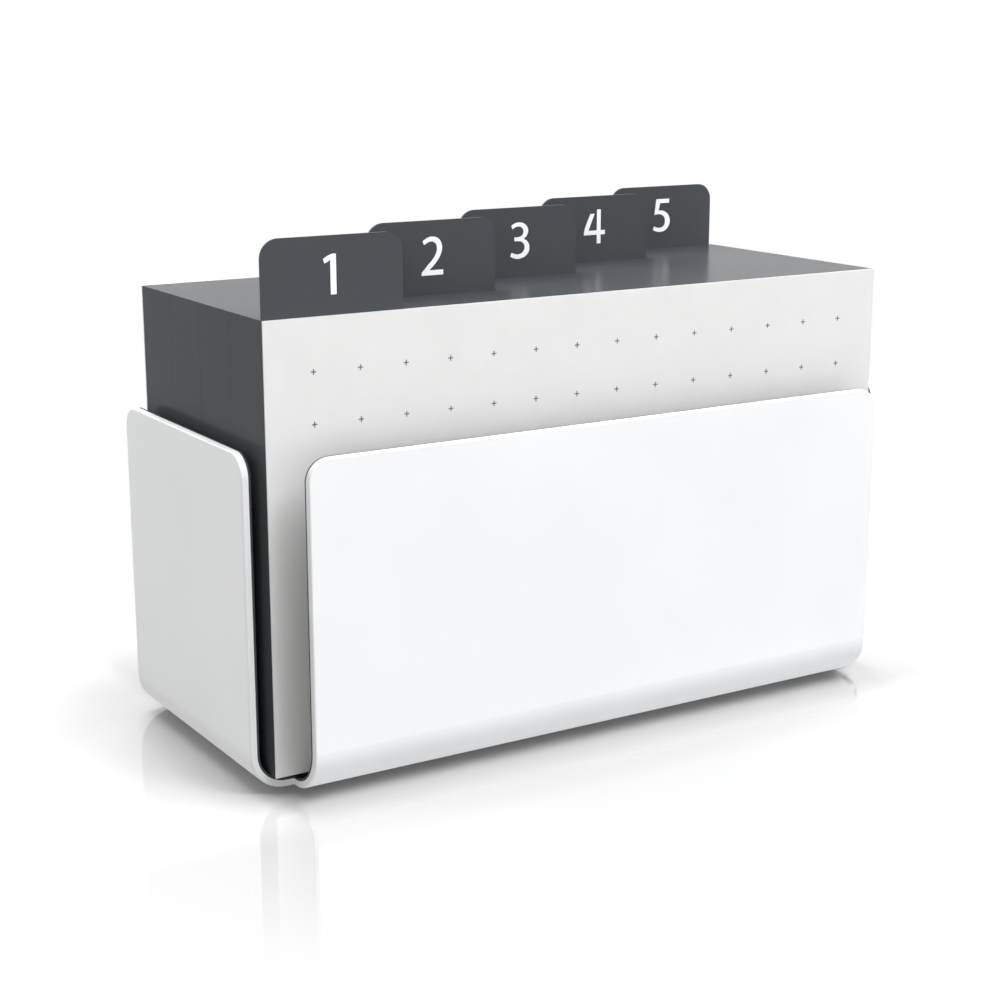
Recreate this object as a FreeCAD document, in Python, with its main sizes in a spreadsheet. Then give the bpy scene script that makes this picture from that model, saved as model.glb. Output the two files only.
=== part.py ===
import FreeCAD, Part
import math
import os
import Sketcher

# Desktop holder for 5 x 3 in index cards. A cross-shaped two-ply sheet is bent up into a low tray:
# a base and four upright flaps with open clefts between them. The tray holds a deck of cards that
# five numbered dividers part into sections.
#
# Frame: millimetres, +Z up, +X to the right and +Y to the back of a user in front of the holder.
# The origin is on the surface that the holder stands on, under the middle of the tray.

FOLDER = "parts"
NUMERALS = "12345"
DIVIDER_COUNT = len(NUMERALS)
PACK_COUNT = DIVIDER_COUNT - 1
HORIZONTAL_AXIS = -1
VERTICAL_AXIS = HORIZONTAL_AXIS - 1
RIGHT_ANGLE = math.pi / 2
TOLERANCE = 1e-4

# Driving dimensions: alias, value, meaning.
SIZES = [
    ("card_width", 127.0, "5 in card, left to right"),
    ("card_height", 76.2, "3 in card, bottom to top"),
    ("card_thickness", 0.28, "heavy index card stock"),
    ("card_air", 0.02, "air between two cards of a pack"),
    ("cards_per_pack", 40, "cards behind one divider"),
    ("leaf_clearance", 0.05, "air between a divider and the cards beside it"),
    ("divider_thickness", 0.35, "stiff plastic sheet"),
    ("tab_height", 12.7, "tab above the card's top edge"),
    ("tab_margin", 0.65, "card left free beyond the last tab"),
    ("tab_corner_radius", 3.2, "rounded top corners of a tab"),
    ("shell_thickness", 1.2, "white outer ply"),
    ("liner_thickness", 0.4, "dark inner ply"),
    ("flap_height", 57.3, "underside of the tray to the flaps' top edges"),
    ("side_bend_radius", 6.4, "outer radius, base to side flap"),
    ("end_bend_radius", 7.9, "outer radius, base to front or back flap"),
    ("side_bend_relief", 1.35, "corner cut-out past the end of a side bend"),
    ("end_bend_relief", 0.6, "corner cut-out past the end of a front or back bend"),
    ("flap_corner_radius", 4.0, "rounded top corners of a flap"),
    ("edge_round", 0.3, "rounded outer edges of the shell"),
    ("side_space", 2.0, "liner to the cards' left or right edges"),
    ("front_space", 5.0, "front flap's liner to the first card"),
    ("rear_space", 8.3, "last card to the back flap's liner"),
    ("seat_clearance", 0.1, "air under the deck where its corners meet the bends"),
    ("foot_diameter", 8.0, "round rubber pad"),
    ("foot_thickness", 0.8, "pad under the base"),
    ("foot_margin", 3.0, "pad's rim to the base's cut edges"),
    ("foot_bevel", 0.25, "bevelled lower rim of a pad"),
]

# Sizes that follow from the driving ones, as expressions on the sheet.
WALL = "(Sizes.shell_thickness + Sizes.liner_thickness)"
PACK_DEPTH = "(Sizes.cards_per_pack * (Sizes.card_thickness + Sizes.card_air) - Sizes.card_air)"
SECTION_PITCH = f"(Sizes.divider_thickness + {PACK_DEPTH} + 2 * Sizes.leaf_clearance)"
FIRST_DIVIDER = "(Sizes.card_thickness + Sizes.leaf_clearance)"
LAST_CARD = (
    f"({FIRST_DIVIDER} + {PACK_COUNT} * {SECTION_PITCH}"
    " + Sizes.divider_thickness + Sizes.leaf_clearance)"
)
DECK_DEPTH = f"({LAST_CARD} + Sizes.card_thickness)"
TRAY_WIDTH = f"(Sizes.card_width + 2 * Sizes.side_space + 2 * {WALL})"
TRAY_DEPTH = f"({DECK_DEPTH} + Sizes.front_space + Sizes.rear_space + 2 * {WALL})"
END_FLAP_WIDTH = f"({TRAY_WIDTH} - 2 * (Sizes.side_bend_radius + Sizes.side_bend_relief))"
SIDE_FLAP_WIDTH = f"({TRAY_DEPTH} - 2 * (Sizes.end_bend_radius + Sizes.end_bend_relief))"
TAB_WIDTH = f"((Sizes.card_width - Sizes.tab_margin) / {DIVIDER_COUNT})"
DECK_LEFT = f"(-{TRAY_WIDTH} / 2 + {WALL} + Sizes.side_space)"
DECK_FRONT = f"(-{TRAY_DEPTH} / 2 + {WALL} + Sizes.front_space)"
FOOT_INSET = "(Sizes.foot_margin + Sizes.foot_diameter / 2)"


def rise_on_bend(bend_radius, space):
    """How far a square corner rides above the base, space being its distance to the flap."""
    inner = f"({bend_radius} - {WALL})"
    return f"({inner} - sqrt({inner}^2 - max({inner} - {space}; 0)^2))"


# The deck's square corners come down on whichever bend is nearest under them.
SIDE_RISE = rise_on_bend("Sizes.side_bend_radius", "Sizes.side_space")
FRONT_RISE = rise_on_bend("Sizes.end_bend_radius", "Sizes.front_space")
REAR_RISE = rise_on_bend("Sizes.end_bend_radius", "Sizes.rear_space")
DECK_RISE = f"(max({SIDE_RISE}; {FRONT_RISE}; {REAR_RISE}) + Sizes.seat_clearance)"
DECK_BOTTOM = f"(Sizes.foot_thickness + {WALL} + {DECK_RISE})"

doc = FreeCAD.newDocument("index_card_holder")


def make_sheet():
    """Writes every driving dimension into the spreadsheet under its alias."""
    sheet = doc.addObject("Spreadsheet::Sheet", "Sizes")
    for row, (alias, value, meaning) in enumerate(SIZES, start=1):
        sheet.set(f"A{row}", str(value))
        sheet.setAlias(f"A{row}", alias)
        sheet.set(f"B{row}", meaning)
    doc.recompute()
    return sheet


def value_of(expression):
    """Works an expression on the sheet out, in millimetres."""
    return float(doc.Sizes.evalExpression(expression))


def new_body(label, x="0", y="0", z="0"):
    """Starts a body whose place follows the sheet."""
    body = doc.addObject("PartDesign::Body", label)
    body.Label = label
    for axis, expression in (("x", x), ("y", y), ("z", z)):
        body.setExpression(f"Placement.Base.{axis}", expression)
    return body


def origin_feature(body, role):
    """Gives the body's own origin plane or axis with this role."""
    return next(item for item in body.Origin.OriginFeatures if item.Role == role)


def new_sketch(body, name, plane):
    """Starts a sketch on one of the body's own origin planes."""
    sketch = body.newObject("Sketcher::SketchObject", name)
    sketch.AttachmentSupport = [(origin_feature(body, plane), "")]
    sketch.MapMode = "FlatFace"
    return sketch


def add_line(sketch, start, end):
    """Adds a straight line and keeps it upright or level."""
    line = Part.LineSegment(FreeCAD.Vector(*start, 0), FreeCAD.Vector(*end, 0))
    index = sketch.addGeometry(line)
    upright = abs(start[0] - end[0]) < abs(start[1] - end[1])
    sketch.addConstraint(Sketcher.Constraint("Vertical" if upright else "Horizontal", index))
    return index


def add_arc(sketch, centre, radius, quarter):
    """Adds a quarter circle, counter-clockwise; quarter 0 starts at three o'clock."""
    circle = Part.Circle(FreeCAD.Vector(*centre, 0), FreeCAD.Vector(0, 0, 1), radius)
    start = quarter * RIGHT_ANGLE
    return sketch.addGeometry(Part.ArcOfCircle(circle, start, start + RIGHT_ANGLE))


def constrain(sketch, kind, *places):
    """Adds a constraint without a size."""
    sketch.addConstraint(Sketcher.Constraint(kind, *places))


def dimension(sketch, kind, expression, *places):
    """Adds a dimension and binds it to the sheet."""
    value = value_of(expression)
    index = sketch.addConstraint(Sketcher.Constraint(kind, *places, value))
    sketch.setExpression(f"Constraints[{index}]", expression)


def pad(body, sketch, name, length, way=None):
    """Extrudes a sketch by a length from the sheet; way is Midplane, Reversed or None."""
    feature = body.newObject("PartDesign::Pad", name)
    feature.Profile = sketch
    feature.setExpression("Length", length)
    if way:
        setattr(feature, way, True)
    sketch.Visibility = False
    doc.recompute()
    return feature


def round_edges(body, name, radius, names):
    """Rounds the named edges of the body's last feature."""
    base = body.Tip
    fillet = body.newObject("PartDesign::Fillet", name)
    fillet.Base = (base, names)
    fillet.setExpression("Radius", radius)
    doc.recompute()
    return fillet


def bevel_edges(body, name, size, names):
    """Bevels the named edges of the body's last feature."""
    base = body.Tip
    bevel = body.newObject("PartDesign::Chamfer", name)
    bevel.Base = (base, names)
    bevel.setExpression("Size", size)
    doc.recompute()
    return bevel


def near(first, second):
    """Says whether two lengths are equal."""
    return abs(first - second) < TOLERANCE


def bent_profile(sketch, width, floor, thickness, radius):
    """Draws one ply bent up at both ends: two upright walls, two bends and a base.

    width is the outside width, floor the height of the base's underside and radius the
    outer radius of the bends.
    """
    half = value_of(width) / 2
    low = value_of(floor)
    wall = value_of(thickness)
    bend = value_of(radius)
    top = value_of("Sizes.flap_height")
    left_centre = (bend - half, low + bend)
    right_centre = (half - bend, low + bend)
    outer_left = add_line(sketch, (-half, top), (-half, low + bend))
    outer_left_bend = add_arc(sketch, left_centre, bend, 2)
    underside = sketch.addGeometry(
        Part.LineSegment(FreeCAD.Vector(bend - half, low, 0), FreeCAD.Vector(half - bend, low, 0))
    )
    outer_right_bend = add_arc(sketch, right_centre, bend, 3)
    outer_right = add_line(sketch, (half, low + bend), (half, top))
    top_right = add_line(sketch, (half, top), (half - wall, top))
    inner_right = add_line(sketch, (half - wall, top), (half - wall, low + bend))
    inner_right_bend = add_arc(sketch, right_centre, bend - wall, 3)
    base_top = add_line(sketch, (half - bend, low + wall), (bend - half, low + wall))
    inner_left_bend = add_arc(sketch, left_centre, bend - wall, 2)
    inner_left = add_line(sketch, (wall - half, low + bend), (wall - half, top))
    top_left = add_line(sketch, (wall - half, top), (-half, top))

    constrain(sketch, "Tangent", outer_left, 2, outer_left_bend, 1)
    constrain(sketch, "Tangent", outer_left_bend, 2, underside, 1)
    constrain(sketch, "Tangent", underside, 2, outer_right_bend, 1)
    constrain(sketch, "Tangent", outer_right_bend, 2, outer_right, 1)
    constrain(sketch, "Tangent", inner_right, 2, inner_right_bend, 2)
    constrain(sketch, "Tangent", inner_right_bend, 1, base_top, 1)
    constrain(sketch, "Tangent", base_top, 2, inner_left_bend, 2)
    constrain(sketch, "Tangent", inner_left_bend, 1, inner_left, 1)
    constrain(sketch, "Coincident", outer_right, 2, top_right, 1)
    constrain(sketch, "Coincident", top_right, 2, inner_right, 1)
    constrain(sketch, "Coincident", inner_left, 2, top_left, 1)
    constrain(sketch, "Coincident", top_left, 2, outer_left, 1)
    constrain(sketch, "Coincident", outer_left_bend, 3, inner_left_bend, 3)
    constrain(sketch, "Coincident", outer_right_bend, 3, inner_right_bend, 3)
    constrain(sketch, "Equal", outer_left_bend, outer_right_bend)
    constrain(sketch, "Symmetric", underside, 1, underside, 2, VERTICAL_AXIS)
    constrain(sketch, "Horizontal", outer_left, 1, outer_right, 2)
    if floor == "0":
        constrain(sketch, "PointOnObject", underside, 1, HORIZONTAL_AXIS)
    else:
        dimension(sketch, "DistanceY", floor, HORIZONTAL_AXIS, 1, underside, 1)
    dimension(sketch, "DistanceX", width, outer_left, 1, outer_right, 2)
    dimension(sketch, "DistanceY", "Sizes.flap_height", HORIZONTAL_AXIS, 1, outer_left, 1)
    dimension(sketch, "Radius", radius, outer_left_bend)
    dimension(sketch, "DistanceX", thickness, outer_left, 1, inner_left, 2)


def flap_corners(shape):
    """Names the four corner edges of the front and back flaps and of the side flaps."""
    top = value_of("Sizes.flap_height")
    half_end = value_of(END_FLAP_WIDTH) / 2
    half_side = value_of(SIDE_FLAP_WIDTH) / 2
    names = []
    for number, edge in enumerate(shape.Edges, start=1):
        start = edge.Vertexes[0].Point
        end = edge.Vertexes[-1].Point
        level = near(start.z, top) and near(end.z, top)
        on_end_flap = near(start.x, end.x) and near(abs(start.x), half_end)
        on_side_flap = near(start.y, end.y) and near(abs(start.y), half_side)
        if level and (on_end_flap or on_side_flap):
            names.append(f"Edge{number}")
    return names


def outer_rim(shape):
    """Names the sharp edges that run round the outside of the bent sheet."""
    half_width = value_of(TRAY_WIDTH) / 2
    half_depth = value_of(TRAY_DEPTH) / 2

    def outside(point):
        on_wall = near(abs(point.x), half_width) or near(abs(point.y), half_depth)
        return on_wall or near(point.z, 0)

    names = []
    for number, edge in enumerate(shape.Edges, start=1):
        middle = edge.valueAt((edge.FirstParameter + edge.LastParameter) / 2)
        faces = shape.ancestorsOfType(edge, Part.Face)
        normals = [face.normalAt(*face.Surface.parameter(middle)) for face in faces]
        sharp = normals[0].getAngle(normals[-1]) > TOLERANCE
        if sharp and all(outside(vertex.Point) for vertex in edge.Vertexes):
            names.append(f"Edge{number}")
    return names


def make_bent_sheet(label, inset, thickness):
    """Makes one ply of the tray: two bent strips that cross in the base.

    inset is how far the ply's outside lies within the tray's outside.
    """
    body = new_body(label, z="Sizes.foot_thickness")
    sides = new_sketch(body, f"{label}_sides", "XZ_Plane")
    bent_profile(
        sides, f"{TRAY_WIDTH} - 2 * {inset}", inset, thickness, f"Sizes.side_bend_radius - {inset}"
    )
    pad(body, sides, f"{label}_side_strip", SIDE_FLAP_WIDTH, "Midplane")
    ends = new_sketch(body, f"{label}_ends", "YZ_Plane")
    bent_profile(
        ends, f"{TRAY_DEPTH} - 2 * {inset}", inset, thickness, f"Sizes.end_bend_radius - {inset}"
    )
    pad(body, ends, f"{label}_end_strip", END_FLAP_WIDTH, "Midplane")
    corners = flap_corners(body.Tip.Shape)
    round_edges(body, f"{label}_corners", "Sizes.flap_corner_radius", corners)
    return body


def make_tray():
    """Makes the white shell, with its rounded rim, and the dark liner inside it."""
    shell = make_bent_sheet("tray_shell", "0", "Sizes.shell_thickness")
    rim = outer_rim(shell.Tip.Shape)
    round_edges(shell, "tray_shell_rim", "Sizes.edge_round", rim)
    liner = make_bent_sheet("tray_liner", "Sizes.shell_thickness", "Sizes.liner_thickness")
    return [shell, liner]


def make_foot(label, x_sign, y_sign):
    """Makes a round rubber pad with a bevelled rim under one corner of the base."""
    x = f"{x_sign} * ({END_FLAP_WIDTH} / 2 - {FOOT_INSET})"
    y = f"{y_sign} * ({SIDE_FLAP_WIDTH} / 2 - {FOOT_INSET})"
    body = new_body(label, x, y)
    sketch = new_sketch(body, f"{label}_outline", "XY_Plane")
    radius = value_of("Sizes.foot_diameter") / 2
    circle = sketch.addGeometry(
        Part.Circle(FreeCAD.Vector(0, 0, 0), FreeCAD.Vector(0, 0, 1), radius)
    )
    constrain(sketch, "Coincident", circle, 3, HORIZONTAL_AXIS, 1)
    dimension(sketch, "Diameter", "Sizes.foot_diameter", circle)
    disc = pad(body, sketch, f"{label}_disc", "Sizes.foot_thickness")
    rim = [
        f"Edge{number}"
        for number, edge in enumerate(disc.Shape.Edges, start=1)
        if all(near(vertex.Z, 0) for vertex in edge.Vertexes)
    ]
    bevel_edges(body, f"{label}_rim", "Sizes.foot_bevel", rim)
    return body


def make_leaf(label, offset, thickness):
    """Makes one upright card-size leaf, offset behind the front of the deck."""
    body = new_body(label, DECK_LEFT, f"{DECK_FRONT} + {offset}", DECK_BOTTOM)
    sketch = new_sketch(body, f"{label}_outline", "XZ_Plane")
    width = value_of("Sizes.card_width")
    height = value_of("Sizes.card_height")
    bottom = add_line(sketch, (0, 0), (width, 0))
    right = add_line(sketch, (width, 0), (width, height))
    top = add_line(sketch, (width, height), (0, height))
    left = add_line(sketch, (0, height), (0, 0))
    for first, second in ((bottom, right), (right, top), (top, left), (left, bottom)):
        constrain(sketch, "Coincident", first, 2, second, 1)
    constrain(sketch, "Coincident", bottom, 1, HORIZONTAL_AXIS, 1)
    dimension(sketch, "DistanceX", "Sizes.card_width", bottom, 1, bottom, 2)
    dimension(sketch, "DistanceY", "Sizes.card_height", right, 1, right, 2)
    pad(body, sketch, f"{label}_sheet", thickness, "Reversed")
    return body


def make_pack(label, offset):
    """Makes the cards behind one divider, each a separate solid."""
    body = make_leaf(label, offset, "Sizes.card_thickness")
    row = body.newObject("PartDesign::LinearPattern", f"{label}_row")
    row.Originals = [body.Tip]
    row.Direction = (origin_feature(body, "Y_Axis"), [""])
    row.Mode = "Spacing"
    row.setExpression("Offset", "Sizes.card_thickness + Sizes.card_air")
    row.setExpression("Occurrences", "Sizes.cards_per_pack")
    body.Tip = row
    return body


def make_divider(label, place, offset):
    """Makes a divider with its rounded tab; place 0 has its tab at the left."""
    body = make_leaf(label, offset, "Sizes.divider_thickness")
    sketch = new_sketch(body, f"{label}_tab_outline", "XZ_Plane")
    start = f"{place} * {TAB_WIDTH}"
    root = "Sizes.card_height - Sizes.tab_height"
    crest = "Sizes.card_height + Sizes.tab_height"
    left = value_of(start)
    right = left + value_of(TAB_WIDTH)
    low = value_of(root)
    high = value_of(crest)
    corner = value_of("Sizes.tab_corner_radius")
    bottom = add_line(sketch, (left, low), (right, low))
    right_side = add_line(sketch, (right, low), (right, high - corner))
    right_corner = add_arc(sketch, (right - corner, high - corner), corner, 0)
    top = add_line(sketch, (right - corner, high), (left + corner, high))
    left_corner = add_arc(sketch, (left + corner, high - corner), corner, 1)
    left_side = add_line(sketch, (left, high - corner), (left, low))
    constrain(sketch, "Coincident", bottom, 2, right_side, 1)
    constrain(sketch, "Tangent", right_side, 2, right_corner, 1)
    constrain(sketch, "Tangent", right_corner, 2, top, 1)
    constrain(sketch, "Tangent", top, 2, left_corner, 1)
    constrain(sketch, "Tangent", left_corner, 2, left_side, 1)
    constrain(sketch, "Coincident", left_side, 2, bottom, 1)
    constrain(sketch, "Equal", left_corner, right_corner)
    if place:
        dimension(sketch, "DistanceX", start, HORIZONTAL_AXIS, 1, bottom, 1)
    else:
        constrain(sketch, "PointOnObject", bottom, 1, VERTICAL_AXIS)
    dimension(sketch, "DistanceX", TAB_WIDTH, bottom, 1, bottom, 2)
    dimension(sketch, "DistanceY", root, HORIZONTAL_AXIS, 1, bottom, 1)
    dimension(sketch, "DistanceY", crest, HORIZONTAL_AXIS, 1, top, 1)
    dimension(sketch, "Radius", "Sizes.tab_corner_radius", right_corner)
    pad(body, sketch, f"{label}_tab", "Sizes.divider_thickness", "Reversed")
    return body


def make_deck():
    """Makes the deck from front to back: a card, then each divider with its cards."""
    bodies = [make_leaf("front_card", "0", "Sizes.card_thickness")]
    for place, numeral in enumerate(NUMERALS):
        offset = f"{FIRST_DIVIDER} + {place} * {SECTION_PITCH}"
        bodies.append(make_divider(f"divider_{numeral}", place, offset))
        if place < PACK_COUNT:
            behind = f"{offset} + Sizes.divider_thickness + Sizes.leaf_clearance"
            bodies.append(make_pack(f"card_pack_{numeral}", behind))
    bodies.append(make_leaf("rear_card", LAST_CARD, "Sizes.card_thickness"))
    return bodies


def make_feet():
    """Makes the four pads under the base."""
    return [
        make_foot(f"foot_pad_{end}_{side}", x_sign, y_sign)
        for end, y_sign in (("front", -1), ("rear", 1))
        for side, x_sign in (("left", -1), ("right", 1))
    ]


def check_objects():
    """Stops the build if a feature has failed."""
    for item in doc.Objects:
        if "Invalid" in item.State or "Error" in item.State:
            raise RuntimeError(f"{item.Name} failed: {item.State}")


def export(bodies):
    """Writes each sub-part to a STEP file of its own name."""
    os.makedirs(FOLDER, exist_ok=True)
    for body in bodies:
        shape = body.Shape
        if shape.isNull() or not shape.isValid():
            raise RuntimeError(f"{body.Label} has no valid shape")
        shape.exportStep(os.path.join(FOLDER, f"{body.Label}.step"))


make_sheet()
sub_parts = make_tray() + make_feet() + make_deck()
doc.recompute()
check_objects()
export(sub_parts)
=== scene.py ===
"""Dresses the index card holder: its finishes, printed marks, studio and camera.

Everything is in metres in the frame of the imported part: +Z up, +X to the right and +Y to the back
of a user in front of the holder, with the origin on the surface that the holder stands on.
"""

import logging
import math
from dataclasses import dataclass, replace
from enum import Enum

import bmesh
import bpy
from mathutils import Euler, Matrix, Vector


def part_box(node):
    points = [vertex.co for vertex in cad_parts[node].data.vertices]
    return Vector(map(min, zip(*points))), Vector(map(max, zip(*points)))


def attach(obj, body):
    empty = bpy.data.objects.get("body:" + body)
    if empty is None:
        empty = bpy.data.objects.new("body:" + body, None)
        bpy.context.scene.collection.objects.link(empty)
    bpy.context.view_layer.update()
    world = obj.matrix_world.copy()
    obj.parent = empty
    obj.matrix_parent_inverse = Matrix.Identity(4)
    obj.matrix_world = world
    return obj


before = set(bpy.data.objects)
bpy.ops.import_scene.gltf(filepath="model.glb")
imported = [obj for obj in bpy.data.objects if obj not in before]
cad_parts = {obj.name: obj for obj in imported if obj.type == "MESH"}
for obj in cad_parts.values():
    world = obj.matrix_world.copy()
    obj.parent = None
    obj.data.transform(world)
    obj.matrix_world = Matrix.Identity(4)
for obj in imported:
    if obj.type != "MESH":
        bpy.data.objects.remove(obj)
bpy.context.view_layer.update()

LOG = logging.getLogger("holder")

MILLIMETRE = 0.001
QUARTER_TURN = math.radians(90)
WARM_TINT = (1.0, 1.0, 0.97)
PRINT_LIFT = 0.03 * MILLIMETRE
PRINT_ROOT = 0.005 * MILLIMETRE
WELD_DISTANCE = 0.0005 * MILLIMETRE
CURVE_STEPS = 6
GRAIN_DETAIL = 3.0
CROSS_CELLS = 3
CARD_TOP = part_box("front_card")[1].z

Colour = tuple[float, float, float]
Knot = tuple[float, float, bool]
Socket = bpy.types.NodeSocket
Element = bmesh.types.BMVert | bmesh.types.BMEdge | bmesh.types.BMFace


def paint(red: float, green: float, blue: float) -> Colour:
    """Turns display levels from 0 to 255 into linear colour by the sRGB rule.

    Args:
        red: Red level.
        green: Green level.
        blue: Blue level.

    Returns:
        The same colour in linear light.
    """

    def linear(level: float) -> float:
        """Turns one display level into linear light."""
        share = level / 255
        return share / 12.92 if share <= 0.04045 else ((share + 0.055) / 1.055) ** 2.4

    return (linear(red), linear(green), linear(blue))


class Canvas:
    """The node tree of one material, on the piece's own object coordinates."""

    def __init__(self, name: str) -> None:
        """Starts a material that holds only a Principled shader and its output.

        Args:
            name: The material's name.
        """
        self.material = bpy.data.materials.new(name)
        self.material.use_nodes = True
        self.tree = self.material.node_tree
        self.tree.nodes.clear()
        self.output = self.tree.nodes.new("ShaderNodeOutputMaterial")
        self.shader = self.tree.nodes.new("ShaderNodeBsdfPrincipled")
        self.join(self.shader.outputs["BSDF"], self.output.inputs["Surface"])
        self.place = self.tree.nodes.new("ShaderNodeTexCoord").outputs["Object"]

    def join(self, source: Socket, target: Socket) -> None:
        """Links two sockets."""
        self.tree.links.new(source, target)

    def calculate(
        self, operation: str, first: Socket | float, second: Socket | float = 0.0
    ) -> Socket:
        """Adds a Math node.

        Args:
            operation: Blender's name for the operation.
            first: A socket or a number.
            second: A socket or a number.

        Returns:
            The result's socket.
        """
        node = self.tree.nodes.new("ShaderNodeMath")
        node.operation = operation
        for socket, value in zip(node.inputs, (first, second)):
            if isinstance(value, Socket):
                self.join(value, socket)
            else:
                socket.default_value = value
        return node.outputs["Value"]

    def stretched(self, stretch: tuple[float, float, float]) -> Socket:
        """Scales the object coordinates.

        Args:
            stretch: Factor along each axis; a large one packs the pattern tighter.

        Returns:
            The scaled coordinates' socket.
        """
        node = self.tree.nodes.new("ShaderNodeMapping")
        node.inputs["Scale"].default_value = stretch
        self.join(self.place, node.inputs["Vector"])
        return node.outputs["Vector"]

    def noise(
        self, size: float, detail: float = 2.0, stretch: tuple[float, float, float] = (1.0, 1.0, 1.0)
    ) -> Socket:
        """Adds a cloudy pattern.

        Args:
            size: Metres across one cloud.
            detail: Octaves of finer clouds.
            stretch: Factor along each axis.

        Returns:
            The pattern's socket, about 0.3 to 0.7.
        """
        node = self.tree.nodes.new("ShaderNodeTexNoise")
        node.inputs["Scale"].default_value = 1 / size
        node.inputs["Detail"].default_value = detail
        self.join(self.stretched(stretch), node.inputs["Vector"])
        return node.outputs["Fac"]

    def spread(
        self,
        source: Socket,
        low: float,
        high: float,
        start: float = 0.3,
        end: float = 0.7,
        ease: bool = False,
    ) -> Socket:
        """Maps a pattern to another range.

        Args:
            source: The pattern.
            low: The result where the pattern is at start.
            high: The result where it is at end.
            start: Lower end of the pattern's range.
            end: Upper end of the pattern's range.
            ease: Whether the change starts and ends softly.

        Returns:
            The mapped value's socket.
        """
        node = self.tree.nodes.new("ShaderNodeMapRange")
        node.interpolation_type = "SMOOTHSTEP" if ease else "LINEAR"
        limits = (("From Min", start), ("From Max", end), ("To Min", low), ("To Max", high))
        for label, value in limits:
            node.inputs[label].default_value = value
        self.join(source, node.inputs["Value"])
        return node.outputs["Result"]

    def blend(self, share: Socket, dark: Colour, light: Colour) -> Socket:
        """Mixes two colours.

        Args:
            share: How much of the light colour shows, 0 to 1.
            dark: Colour at 0.
            light: Colour at 1.

        Returns:
            The mixed colour's socket.
        """
        node = self.tree.nodes.new("ShaderNodeMix")
        node.data_type = "RGBA"
        node.inputs["A"].default_value = (*dark, 1.0)
        node.inputs["B"].default_value = (*light, 1.0)
        self.join(share, node.inputs["Factor"])
        return node.outputs["Result"]

    def relief(self, height: Socket, depth: float) -> None:
        """Raises the surface by a pattern.

        Args:
            height: The pattern, 0 to 1.
            depth: Metres from its lowest to its highest place.
        """
        node = self.tree.nodes.new("ShaderNodeBump")
        node.inputs["Strength"].default_value = 1.0
        node.inputs["Distance"].default_value = depth
        self.join(height, node.inputs["Height"])
        self.join(node.outputs["Normal"], self.shader.inputs["Normal"])


@dataclass(frozen=True)
class Finish:
    """A surface whose tone and gloss drift slightly over a fine grain.

    Sizes are in metres. The grain's stretch is a factor along each axis.
    """

    name: str
    dark: Colour
    light: Colour
    roughness: tuple[float, float]
    drift: float = 0.02
    grain: float = 0.0004
    depth: float = 0.000004
    stretch: tuple[float, float, float] = (1.0, 1.0, 1.0)
    ior: float = 1.45

    def tone(self, canvas: Canvas) -> Socket:
        """Gives the share of the light colour, drifting over the surface."""
        return canvas.spread(canvas.noise(self.drift), 0.0, 1.0)

    def material(self) -> bpy.types.Material:
        """Builds the node material.

        Returns:
            The material.
        """
        canvas = Canvas(self.name)
        shader = canvas.shader
        canvas.join(canvas.blend(self.tone(canvas), self.dark, self.light), shader.inputs["Base Color"])
        grain = canvas.noise(self.grain, GRAIN_DETAIL, self.stretch)
        canvas.join(canvas.spread(grain, *self.roughness), shader.inputs["Roughness"])
        shader.inputs["IOR"].default_value = self.ior
        canvas.relief(grain, self.depth)
        return canvas.material


@dataclass(frozen=True)
class SheetFinish(Finish):
    """Stacked sheets that differ slightly in tone, one sheet to each pitch along Y.

    Side, top and tab are shares of the light colour: on the stack's sides, along its top
    and on the tabs that stand above it. The top's share is far below the sides': painted
    shade that darkens the top against the stronger light from above. The top and the tabs
    start at the heights of their feet. Sizes are in metres.
    """

    pitch: float = 0.3 * MILLIMETRE
    variety: float = 0.1
    side: float = 0.86
    painted_shade_top: float = 0.02
    tab: float = 0.64
    painted_shade_top_foot: float = CARD_TOP - 0.02 * MILLIMETRE
    tab_foot: float = CARD_TOP + 0.02 * MILLIMETRE
    step: float = 0.01 * MILLIMETRE

    def tone(self, canvas: Canvas) -> Socket:
        """Gives the share of the light colour: the place on the stack, the drift and the sheet.

        Args:
            canvas: The material's node tree.

        Returns:
            The share's socket.
        """
        split = canvas.tree.nodes.new("ShaderNodeSeparateXYZ")
        canvas.join(canvas.place, split.inputs["Vector"])
        sheet = canvas.calculate("FLOOR", canvas.calculate("DIVIDE", split.outputs["Y"], self.pitch))
        scatter = canvas.tree.nodes.new("ShaderNodeTexWhiteNoise")
        scatter.noise_dimensions = "1D"
        canvas.join(sheet, scatter.inputs["W"])
        pattern = canvas.calculate("MULTIPLY", scatter.outputs["Value"], super().tone(canvas))
        total = canvas.calculate("ADD", canvas.calculate("MULTIPLY", pattern, self.variety), self.side)
        # The top of the stack takes a far darker share than its sides: painted shade against the light
        # from above.
        rises = ((self.painted_shade_top_foot, self.painted_shade_top - self.side), (self.tab_foot, self.tab - self.painted_shade_top))
        for foot, change in rises:
            above = canvas.spread(split.outputs["Z"], 0.0, change, foot, foot + self.step)
            total = canvas.calculate("ADD", total, above)
        return total


SHELL_FINISH = Finish(
    "satin_white_plastic",
    dark=paint(229, 230, 232),
    light=paint(233, 234, 236),
    roughness=(0.30, 0.36),
    drift=0.03,
    grain=0.0006,
    depth=0.000002,
)
LINER_FINISH = Finish(
    "matte_dark_liner",
    dark=paint(49, 50, 53),
    light=paint(55, 56, 59),
    roughness=(0.55, 0.7),
    drift=0.008,
    grain=0.0003,
    depth=0.00001,
)
RUBBER_FINISH = Finish(
    "dark_rubber",
    dark=paint(40, 40, 41),
    light=paint(54, 54, 55),
    roughness=(0.7, 0.85),
    drift=0.002,
    grain=0.0002,
    depth=0.00002,
)
WHITE_CARD_FINISH = Finish(
    "white_card_stock",
    dark=paint(217, 217, 217),
    light=paint(220, 220, 220),
    roughness=(0.55, 0.65),
    drift=0.006,
    grain=0.00025,
    depth=0.000002,
    stretch=(1.0, 1.0, 0.35),
)
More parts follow.
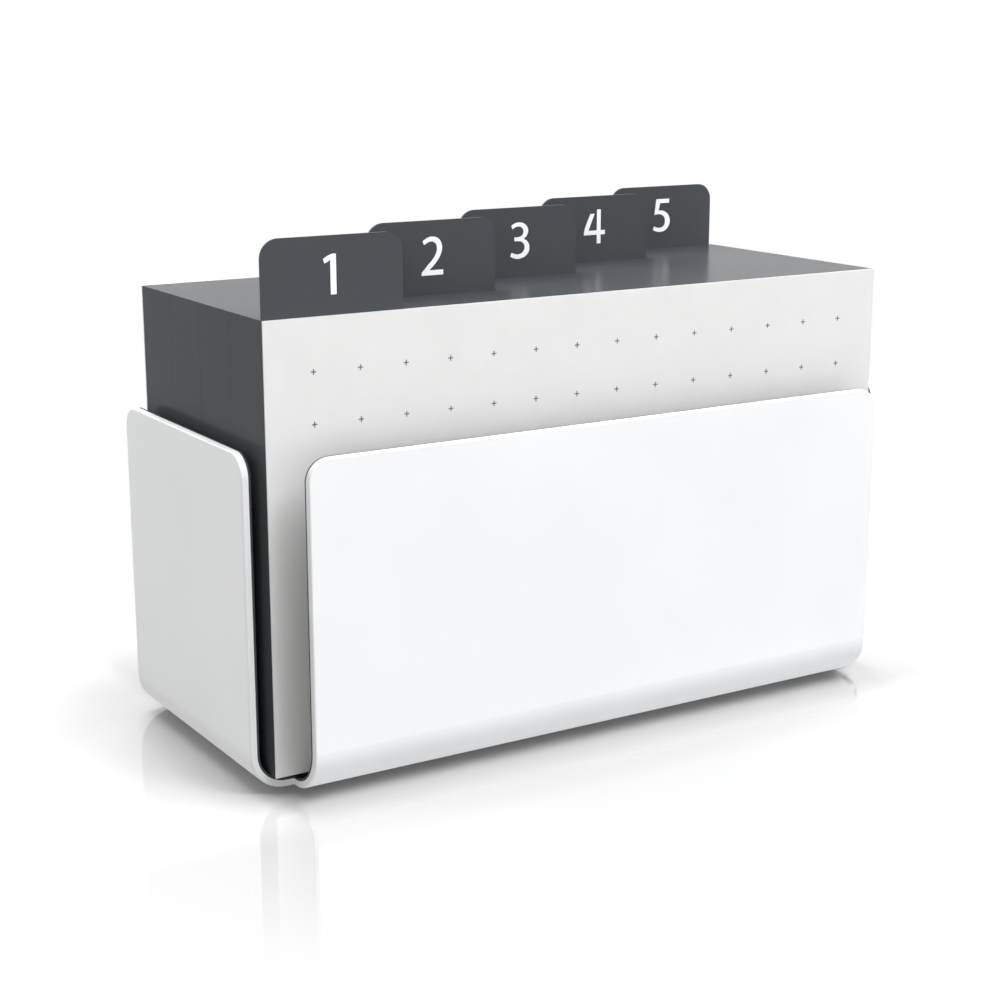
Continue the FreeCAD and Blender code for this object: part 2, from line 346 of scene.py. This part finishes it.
# Along the stack's top this finish is painted darker than on its sides: painted shade.
GREY_CARD_FINISH = SheetFinish(
    "grey_card_stock",
    dark=paint(60, 62, 65),
    light=paint(80, 82.5, 86),
    roughness=(0.2, 0.24),
    drift=0.01,
    grain=0.0005,
    depth=0.0000002,
    ior=1.1,
)
DIVIDER_FINISH = replace(GREY_CARD_FINISH, name="grey_divider_sheet")
NUMERAL_FINISH = Finish(
    "white_print",
    dark=paint(248, 248, 248),
    light=paint(252, 252, 252),
    roughness=(0.4, 0.5),
    drift=0.001,
    grain=0.0001,
    depth=0.0000005,
)
MARK_FINISH = Finish(
    "grey_print",
    dark=paint(84, 85, 88),
    light=paint(96, 97, 100),
    roughness=(0.6, 0.7),
    drift=0.0006,
    grain=0.0001,
    depth=0.0000005,
)


class Figure(Enum):
    """Outlines of the five numerals, in millimetres from the foot of the middle of a tab's print.

    Each point has its place to the right, its height, and whether the outline is round there.
    """

    ONE = (
        (-0.45, -0.05, False),
        (0.57, -0.05, False),
        (0.57, 6.40, False),
        (-0.05, 6.43, False),
        (-0.85, 6.15, True),
        (-1.73, 5.65, False),
        (-1.48, 4.95, False),
        (-1.00, 5.15, True),
        (-0.45, 5.50, False),
    )
    TWO = (
        (-2.15, 0.00, False),
        (2.10, 0.00, False),
        (2.10, 0.87, False),
        (-0.62, 0.87, False),
        (0.68, 2.12, True),
        (1.55, 3.30, True),
        (1.92, 4.60, True),
        (1.63, 5.72, True),
        (0.95, 6.35, True),
        (-0.08, 6.58, True),
        (-1.03, 6.38, True),
        (-1.92, 5.88, False),
        (-1.62, 5.20, False),
        (-0.92, 5.60, True),
        (-0.17, 5.76, True),
        (0.60, 5.42, True),
        (0.89, 4.58, True),
        (0.62, 3.55, True),
        (-0.05, 2.60, True),
        (-1.05, 1.62, True),
        (-2.15, 0.47, False),
    )
    THREE = (
        (-1.55, 1.18, False),
        (-0.80, 0.90, True),
        (0.03, 0.82, True),
        (0.92, 1.25, True),
        (1.25, 2.07, True),
        (0.85, 2.92, True),
        (0.00, 3.20, True),
        (-0.93, 3.20, False),
        (-0.93, 3.93, False),
        (0.00, 3.97, True),
        (0.73, 4.27, True),
        (1.00, 4.93, True),
        (0.70, 5.60, True),
        (-0.05, 5.88, True),
        (-0.80, 5.72, True),
        (-1.38, 5.43, False),
        (-1.60, 6.10, False),
        (-0.80, 6.50, True),
        (0.03, 6.63, True),
        (1.40, 6.20, True),
        (2.02, 5.18, True),
        (1.80, 4.27, True),
        (1.12, 3.57, False),
        (1.93, 3.02, True),
        (2.32, 1.95, True),
        (1.87, 0.77, True),
        (0.12, 0.00, True),
        (-0.97, 0.10, True),
        (-1.85, 0.48, False),
    )
    FOUR = (
        (0.58, 0.15, False),
        (1.48, 0.15, False),
        (1.48, 1.85, False),
        (2.48, 1.85, False),
        (2.48, 2.70, False),
        (1.48, 2.70, False),
        (1.48, 6.73, False),
        (0.58, 6.73, False),
        (0.58, 2.70, False),
        (-1.38, 2.70, False),
        (0.03, 5.95, False),
        (-0.97, 5.95, False),
        (-2.35, 2.75, True),
        (-2.47, 1.85, False),
        (0.58, 1.85, False),
    )
    FIVE = (
        (-1.77, 1.18, False),
        (-1.07, 0.90, True),
        (-0.32, 0.82, True),
        (0.62, 1.17, True),
        (0.98, 2.07, True),
        (0.68, 3.07, True),
        (-0.25, 3.57, True),
        (-1.07, 3.60, True),
        (-1.75, 3.48, False),
        (-1.32, 6.72, False),
        (1.97, 6.72, False),
        (1.95, 5.87, False),
        (-0.32, 5.87, False),
        (-0.70, 4.37, False),
        (0.12, 4.35, True),
        (1.25, 3.92, True),
        (1.95, 3.15, True),
        (2.22, 2.18, True),
        (1.95, 1.15, True),
        (1.10, 0.30, True),
        (-0.15, -0.03, True),
        (-1.23, 0.12, True),
        (-2.07, 0.43, False),
    )


def place_piece(name: str, mesh: bpy.types.Mesh, finish: Finish, body: str) -> None:
    """Puts a finished mesh on a body of the part.

    Args:
        name: The piece's name.
        mesh: Its mesh, in place.
        finish: Its finish.
        body: The body that it rides on.
    """
    piece = bpy.data.objects.new(name, mesh)
    bpy.context.scene.collection.objects.link(piece)
    mesh.materials.clear()
    mesh.materials.append(finish.material())
    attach(piece, body)
    LOG.info("%s: %d faces on %s", name, len(mesh.polygons), body)


def dress(node: str, material: bpy.types.Material) -> None:
    """Gives a node of the part its finish.

    Args:
        node: The node's name.
        material: The finish's material.
    """
    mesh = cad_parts[node].data
    mesh.materials.clear()
    mesh.materials.append(material)
    LOG.info("%s: %s", node, material.name)


def vertices_of(items: list[Element]) -> list[bmesh.types.BMVert]:
    """Picks the vertices out of what an operator gives back."""
    return [item for item in items if isinstance(item, bmesh.types.BMVert)]


def outline_mesh(name: str, knots: tuple[Knot, ...], thickness: float) -> bpy.types.Mesh:
    """Makes a thin flat shape from its outline.

    Args:
        name: The mesh's name.
        knots: The outline, in millimetres.
        thickness: Metres through the shape.

    Returns:
        A mesh that faces -Y, with its outline in X and Z and its middle plane at Y = 0.
    """
    curve = bpy.data.curves.new(name, "CURVE")
    curve.dimensions = "2D"
    curve.fill_mode = "BOTH"
    curve.extrude = thickness / 2
    curve.resolution_u = CURVE_STEPS
    spline = curve.splines.new("BEZIER")
    spline.bezier_points.add(len(knots) - 1)
    spline.use_cyclic_u = True
    for point, (right, height, is_round) in zip(spline.bezier_points, knots):
        point.co = (right * MILLIMETRE, height * MILLIMETRE, 0)
        point.handle_left_type = "AUTO" if is_round else "VECTOR"
        point.handle_right_type = point.handle_left_type
    holder = bpy.data.objects.new(name, curve)
    bpy.context.scene.collection.objects.link(holder)
    shaped = holder.evaluated_get(bpy.context.evaluated_depsgraph_get())
    mesh = bpy.data.meshes.new_from_object(shaped)
    bpy.data.objects.remove(holder)
    form = bmesh.new()
    form.from_mesh(mesh)
    bmesh.ops.remove_doubles(form, verts=form.verts, dist=WELD_DISTANCE)
    bmesh.ops.rotate(form, verts=form.verts, matrix=Matrix.Rotation(QUARTER_TURN, 3, "X"))
    bmesh.ops.recalc_face_normals(form, faces=form.faces)
    form.to_mesh(mesh)
    form.free()
    return mesh


@dataclass
class Tray:
    """The bent tray: white shell, dark liner and four rubber pads."""

    shell: str = "tray_shell"
    liner: str = "tray_liner"
    pads: tuple[str, ...] = (
        "foot_pad_front_left",
        "foot_pad_front_right",
        "foot_pad_rear_left",
        "foot_pad_rear_right",
    )

    def build(self) -> None:
        """Dresses the tray."""
        dress(self.shell, SHELL_FINISH.material())
        dress(self.liner, LINER_FINISH.material())
        rubber = RUBBER_FINISH.material()
        for pad in self.pads:
            dress(pad, rubber)


@dataclass
class MarkedCard:
    """The front card, printed with a grid of small crosses. Sizes are in metres."""

    node: str = "front_card"
    columns: int = 14
    rows: int = 8
    side_margin: float = 8.62 * MILLIMETRE
    top_margin: float = 8.79 * MILLIMETRE
    column_pitch: float = 8.44 * MILLIMETRE
    row_pitch: float = 8.55 * MILLIMETRE
    cross_size: float = 0.95 * MILLIMETRE
    stroke: float = 0.18 * MILLIMETRE

    def cross(self, form: bmesh.types.BMesh) -> list[bmesh.types.BMVert]:
        """Adds one upright cross at the origin: a square of cells without its corners.

        Args:
            form: The mesh that it joins.

        Returns:
            The cross's vertices.
        """
        arm = self.cross_size / 2
        grid = bmesh.ops.create_grid(
            form, x_segments=CROSS_CELLS, y_segments=CROSS_CELLS, size=arm
        )
        for vertex in grid["verts"]:
            for axis in (0, 1):
                if abs(vertex.co[axis]) < arm / 2:
                    vertex.co[axis] = math.copysign(self.stroke / 2, vertex.co[axis])
        corners = [
            face
            for face in form.faces
            if min(abs(face.calc_center_median()[axis]) for axis in (0, 1)) > self.stroke / 2
        ]
        bmesh.ops.delete(form, geom=corners, context="FACES")
        raised = bmesh.ops.extrude_face_region(form, geom=list(form.faces))["geom"]
        bmesh.ops.translate(form, verts=vertices_of(raised), vec=(0, 0, PRINT_LIFT + PRINT_ROOT))
        bmesh.ops.rotate(form, verts=form.verts, matrix=Matrix.Rotation(QUARTER_TURN, 3, "X"))
        bmesh.ops.recalc_face_normals(form, faces=form.faces)
        return list(form.verts)

    def build(self) -> None:
        """Dresses the card and prints its crosses."""
        low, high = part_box(self.node)
        dress(self.node, WHITE_CARD_FINISH.material())
        form = bmesh.new()
        first = self.cross(form)
        corner = Vector((low.x + self.side_margin, low.y + PRINT_ROOT, high.z - self.top_margin))
        bmesh.ops.translate(form, verts=first, vec=corner)
        pattern = form.verts[:] + form.edges[:] + form.faces[:]
        for column in range(self.columns):
            for row in range(self.rows):
                if column or row:
                    copy = bmesh.ops.duplicate(form, geom=pattern)["geom"]
                    step = (column * self.column_pitch, 0, -row * self.row_pitch)
                    bmesh.ops.translate(form, verts=vertices_of(copy), vec=step)
        mesh = bpy.data.meshes.new("front_card_crosses")
        form.to_mesh(mesh)
        form.free()
        place_piece("front_card_crosses", mesh, MARK_FINISH, self.node)


@dataclass
class Divider:
    """A divider sheet with its numeral printed on the tab. Sizes are in metres."""

    number: int
    figure: Figure
    count: int = len(Figure)
    tab_margin: float = 0.65 * MILLIMETRE
    foot_above_card: float = 3.35 * MILLIMETRE

    @property
    def node(self) -> str:
        """The divider's node and body."""
        return f"divider_{self.number}"

    def build(self) -> None:
        """Dresses the sheet and prints its numeral."""
        dress(self.node, DIVIDER_FINISH.material())
        low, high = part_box(self.node)
        tab_width = (high.x - low.x - self.tab_margin) / self.count
        middle = low.x + (self.number - 0.5) * tab_width
        mesh = outline_mesh(f"numeral_{self.number}", self.figure.value, PRINT_LIFT + PRINT_ROOT)
        front = low.y - (PRINT_LIFT - PRINT_ROOT) / 2
        mesh.transform(Matrix.Translation((middle, front, CARD_TOP + self.foot_above_card)))
        place_piece(mesh.name, mesh, NUMERAL_FINISH, self.node)


@dataclass
class CardDeck:
    """The grey cards in four packs and the white card behind them."""

    packs: int = 4

    def build(self) -> None:
        """Dresses the cards."""
        stock = GREY_CARD_FINISH.material()
        for number in range(1, self.packs + 1):
            dress(f"card_pack_{number}", stock)
        dress("rear_card", WHITE_CARD_FINISH.material())


@dataclass(frozen=True)
class Lamp:
    """A square studio lamp aimed at the holder. Angles are in degrees, power in watts.

    The bearing is 0 in front of the holder, 90 to its right and 180 behind it.
    """

    name: str
    bearing: float
    rise: float
    power: float
    distance: float = 2.4
    size: float = 1.65
    aim: tuple[float, float, float] = (0.0, 0.0, 0.04)
    tint: Colour = (1.0, 1.0, 1.0)

    def build(self) -> None:
        """Hangs the lamp, which reflections don't show."""
        bearing = math.radians(self.bearing)
        rise = math.radians(self.rise)
        level = math.cos(rise)
        way = Vector((math.sin(bearing) * level, -math.cos(bearing) * level, math.sin(rise)))
        data = bpy.data.lights.new(self.name, "AREA")
        data.size = self.size
        data.energy = self.power
        data.color = self.tint
        lamp = bpy.data.objects.new(self.name, data)
        lamp.location = Vector(self.aim) + way * self.distance
        lamp.rotation_euler = way.to_track_quat("Z", "Y").to_euler()
        lamp.visible_camera = False
        lamp.visible_glossy = False
        bpy.context.scene.collection.objects.link(lamp)


@dataclass
class Studio:
    """A pale glossy floor in a white room, with soft lamps. Sizes are in metres.

    The floor returns less light to the holder than it shows. Everywhere right of the near left
    line and behind the near front line it returns more, which brightens the front bend and the
    back, and shows darker: painted contact shade along the holder. Past the holder's shadow it
    turns to a steady glow under its gloss, and further out to plain white.
    """

    floor_radius: float = 8.0
    floor_sides: int = 64
    floor_shown: float = 0.52
    floor_returned: float = 0.22
    # Inside the near lines: a darker shown level, which is painted contact shade, and a higher returned
    # level.
    painted_shade_shown: float = 0.42
    near_returned: float = 0.53
    near_front: tuple[float, float] = (0.036, 0.046)
    near_left: tuple[float, float] = (-0.066, -0.06)
    floor_roughness: tuple[float, float] = (0.02, 0.03)
    floor_ior: float = 2.3
    floor_cloud: float = 0.05
    glow_levels: tuple[float, float] = (0.72, 0.8)
    glow_reach: tuple[float, float] = (0.045, 0.075)
    front_fade: tuple[float, float] = (0.033, 0.045)
    round_fade: tuple[float, float] = (0.076, 0.106)
    fade_limit: float = 0.97
    white_fade: tuple[float, float] = (0.08, 0.125)
    lamps: tuple[Lamp, ...] = (
        Lamp("rear_lamp", bearing=180, rise=55, power=73.0),
        Lamp("right_high_lamp", bearing=45, rise=60, power=94.0),
        Lamp("right_lamp", bearing=45, rise=30, power=5.8),
        Lamp("right_low_lamp", bearing=45, rise=5, power=14.2),
        Lamp("left_front_lamp", bearing=315, rise=5, power=26.6, tint=WARM_TINT),
        Lamp("left_rear_lamp", bearing=225, rise=30, power=20.0, tint=WARM_TINT),
        Lamp("top_lamp", bearing=0, rise=85, power=20.0),
    )

    def clear_share(self, canvas: Canvas, ahead: Socket, reach: Socket) -> Socket:
        """Gives how far a place on the floor lies out of the holder's shadow.

        Args:
            canvas: The floor's node tree.
            ahead: Distance in front of the holder's middle.
            reach: Distance from the holder's middle.

        Returns:
            The share's socket, 0 in the shadow.
        """
        past_front = canvas.spread(ahead, 0.0, self.fade_limit, *self.front_fade, ease=True)
        past_shadow = canvas.spread(reach, 0.0, self.fade_limit, *self.round_fade, ease=True)
        return canvas.calculate("MAXIMUM", past_front, past_shadow)

    def near_share(self, canvas: Canvas, ahead: Socket, right: Socket) -> Socket:
        """Gives how far a place on the floor lies inside the near front and near left lines, where it
        shows painted shade and returns more light.

        Args:
            canvas: The floor's node tree.
            ahead: Distance in front of the holder's middle.
            right: Distance to the right of it.

        Returns:
            The share's socket, 1 inside both lines.
        """
        behind_line = canvas.spread(ahead, 1.0, 0.0, *self.near_front, ease=True)
        right_of_line = canvas.spread(right, 0.0, 1.0, *self.near_left, ease=True)
        return canvas.calculate("MULTIPLY", behind_line, right_of_line)

    def floor_material(self) -> bpy.types.Material:
        """Builds the floor's finish, plain white far from the holder and in reflections.

        Returns:
            The material.
        """
        canvas = Canvas("studio_floor")
        shader = canvas.shader
        path = canvas.tree.nodes.new("ShaderNodeLightPath").outputs
        seen = path["Is Camera Ray"]
        length = canvas.tree.nodes.new("ShaderNodeVectorMath")
        length.operation = "LENGTH"
        canvas.join(canvas.place, length.inputs[0])
        reach = length.outputs["Value"]
        split = canvas.tree.nodes.new("ShaderNodeSeparateXYZ")
        canvas.join(canvas.place, split.inputs["Vector"])
        ahead = canvas.calculate("SUBTRACT", 0.0, split.outputs["Y"])
        clear = self.clear_share(canvas, ahead, reach)
        near = self.near_share(canvas, ahead, split.outputs["X"])
        # Inside the near lines the floor shows darker to the camera: painted contact shade.
        shown = canvas.spread(near, self.floor_shown, self.painted_shade_shown, 0.0, 1.0)
        returned = canvas.spread(near, self.floor_returned, self.near_returned, 0.0, 1.0)
        lit = canvas.calculate("MULTIPLY", canvas.calculate("SUBTRACT", 1.0, clear), shown)
        extra = canvas.calculate("MULTIPLY", canvas.calculate("SUBTRACT", lit, returned), seen)
        canvas.join(canvas.calculate("ADD", extra, returned), shader.inputs["Base Color"])
        level = canvas.spread(reach, *self.glow_levels, *self.glow_reach, ease=True)
        glow = canvas.calculate("MULTIPLY", canvas.calculate("MULTIPLY", clear, level), seen)
        canvas.join(glow, shader.inputs["Emission Strength"])
        cloud = canvas.noise(self.floor_cloud)
        canvas.join(canvas.spread(cloud, *self.floor_roughness), shader.inputs["Roughness"])
        shader.inputs["IOR"].default_value = self.floor_ior
        far = canvas.spread(reach, 0.0, 1.0, *self.white_fade, ease=True)
        faded = canvas.calculate("MULTIPLY", far, seen)
        white = canvas.tree.nodes.new("ShaderNodeEmission")
        mix = canvas.tree.nodes.new("ShaderNodeMixShader")
        canvas.join(canvas.calculate("MAXIMUM", faded, path["Is Glossy Ray"]), mix.inputs[0])
        canvas.join(shader.outputs["BSDF"], mix.inputs[1])
        canvas.join(white.outputs["Emission"], mix.inputs[2])
        canvas.join(mix.outputs["Shader"], canvas.output.inputs["Surface"])
        return canvas.material

    def build_floor(self) -> None:
        """Lays the floor."""
        form = bmesh.new()
        bmesh.ops.create_circle(
            form, cap_ends=True, segments=self.floor_sides, radius=self.floor_radius
        )
        bmesh.ops.recalc_face_normals(form, faces=form.faces)
        mesh = bpy.data.meshes.new("studio_floor")
        form.to_mesh(mesh)
        form.free()
        mesh.materials.append(self.floor_material())
        floor = bpy.data.objects.new("studio_floor", mesh)
        bpy.context.scene.collection.objects.link(floor)

    def build_room(self) -> None:
        """Shows a white room to the camera and in reflections, and lets it light nothing."""
        world = bpy.data.worlds.new("studio_room")
        world.use_nodes = True
        tree = world.node_tree
        tree.nodes.clear()
        output = tree.nodes.new("ShaderNodeOutputWorld")
        white = tree.nodes.new("ShaderNodeBackground")
        white.inputs["Color"].default_value = (1.0, 1.0, 1.0, 1.0)
        path = tree.nodes.new("ShaderNodeLightPath").outputs
        mirrored = tree.nodes.new("ShaderNodeMath")
        mirrored.operation = "MAXIMUM"
        tree.links.new(path["Is Glossy Ray"], mirrored.inputs[0])
        tree.links.new(path["Is Transmission Ray"], mirrored.inputs[1])
        shown = tree.nodes.new("ShaderNodeMath")
        shown.operation = "MAXIMUM"
        tree.links.new(path["Is Camera Ray"], shown.inputs[0])
        tree.links.new(mirrored.outputs["Value"], shown.inputs[1])
        tree.links.new(shown.outputs["Value"], white.inputs["Strength"])
        tree.links.new(white.outputs["Background"], output.inputs["Surface"])
        bpy.context.scene.world = world

    def build(self) -> None:
        """Sets up the floor, the room and the lamps."""
        self.build_floor()
        self.build_room()
        for lamp in self.lamps:
            lamp.build()
        bpy.context.scene.view_settings.view_transform = "Standard"


@dataclass
class Viewpoint:
    """The camera, which shows nothing nearer than its nearest distance.

    The place and the nearest distance are in metres, the turn is in degrees, and the lens and the
    film are in millimetres.
    """

    place: tuple[float, float, float] = (-0.188453, -0.299719, 0.124222)
    turn: tuple[float, float, float] = (76.1615, 0.0339, -31.7215)
    lens: float = 69.171
    film: float = 36.0
    nearest: float = 0.01

    def build(self) -> None:
        """Sets up the camera and makes it the scene's."""
        data = bpy.data.cameras.new("studio_camera")
        data.lens = self.lens
        data.sensor_width = self.film
        data.clip_start = self.nearest
        camera = bpy.data.objects.new("studio_camera", data)
        camera.location = self.place
        camera.rotation_euler = Euler([math.radians(angle) for angle in self.turn])
        bpy.context.scene.collection.objects.link(camera)
        bpy.context.scene.camera = camera


def main() -> None:
    """Builds every sub-assembly, the studio and the camera."""
    logging.basicConfig(level=logging.INFO, format="%(message)s")
    Tray().build()
    MarkedCard().build()
    for number, figure in enumerate(Figure, start=1):
        Divider(number, figure).build()
    CardDeck().build()
    Studio().build()
    Viewpoint().build()


if __name__ == "__main__":
    main()
